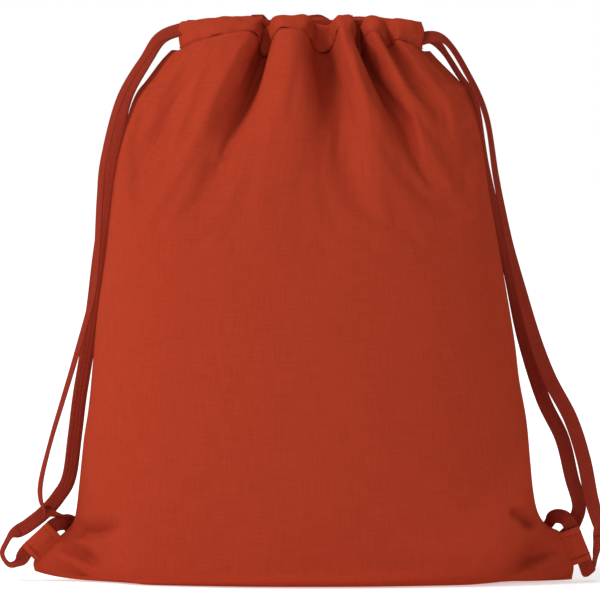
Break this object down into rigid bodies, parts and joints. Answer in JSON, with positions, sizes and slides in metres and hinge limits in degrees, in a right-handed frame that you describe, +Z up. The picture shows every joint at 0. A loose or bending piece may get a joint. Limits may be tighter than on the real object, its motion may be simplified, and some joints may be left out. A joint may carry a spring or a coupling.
{
  "type": "drawstring backpack",
  "caption": "Soft fabric sack standing on its base, mouth gathered by two flat cords that run down each side as shoulder straps to tabs in the lower corners.",
  "frame": {"origin": "centre of the base on the surface that the bag stands on, midway between the outer edges of the two corner tabs", "axes": "+Z up, -Y out of the front panel, +X to the viewer's right when looking at the front"},
  "size_m": [0.3777, 0.1792, 0.353],
  "materials": {
    "cloth": "plain weave, low sheen",
    "seam_allowance": "overlocked raw edge",
    "cord": "flat knitted tape, matte"
  },
  "bodies": {
    "bag": {"front_panel": "cloth", "back_panel": "cloth", "front_casing": "cloth", "back_casing": "cloth", "left_side_seam": "seam_allowance", "right_side_seam": "seam_allowance", "bottom_seam": "seam_allowance", "left_tab": "cloth", "right_tab": "cloth", "left_casing_cord": "cord", "left_front_end": "cord", "left_tab_cord": "cord", "left_knot": "cord", "left_front_tail": "cord", "left_back_tail": "cord", "right_casing_cord": "cord", "right_tab_cord": "cord", "right_back_end": "cord", "right_knot": "cord", "right_front_tail": "cord", "right_back_tail": "cord"},
    "left_front_strand": {"left_front_strand": "cord"},
    "left_back_strand": {"left_back_strand": "cord"},
    "right_front_strand": {"right_front_strand": "cord"},
    "right_back_strand": {"right_back_strand": "cord"}
  },
  "joints": [
    {"name": "left_front_strand_swing", "type": "hinge", "parent": "bag", "child": "left_front_strand", "pos_m": [-0.1465, 0.019, 0.0345], "axis": [0.2217, -0.0928, 0.9707], "range_deg": [0, 8]},
    {"name": "left_back_strand_swing", "type": "hinge", "parent": "bag", "child": "left_back_strand", "pos_m": [-0.1805, 0.0035, 0.0318], "axis": [0.3174, 0.0219, 0.948], "range_deg": [-10, 8]},
    {"name": "right_front_strand_swing", "type": "hinge", "parent": "bag", "child": "right_front_strand", "pos_m": [0.1812, 0.006, 0.029], "axis": [-0.3598, -0.0507, 0.9316], "range_deg": [-40, 8]},
    {"name": "right_back_strand_swing", "type": "hinge", "parent": "bag", "child": "right_back_strand", "pos_m": [0.16, 0.0165, 0.027], "axis": [-0.3006, -0.0178, 0.9536], "range_deg": [-6, 35]}
  ]
}
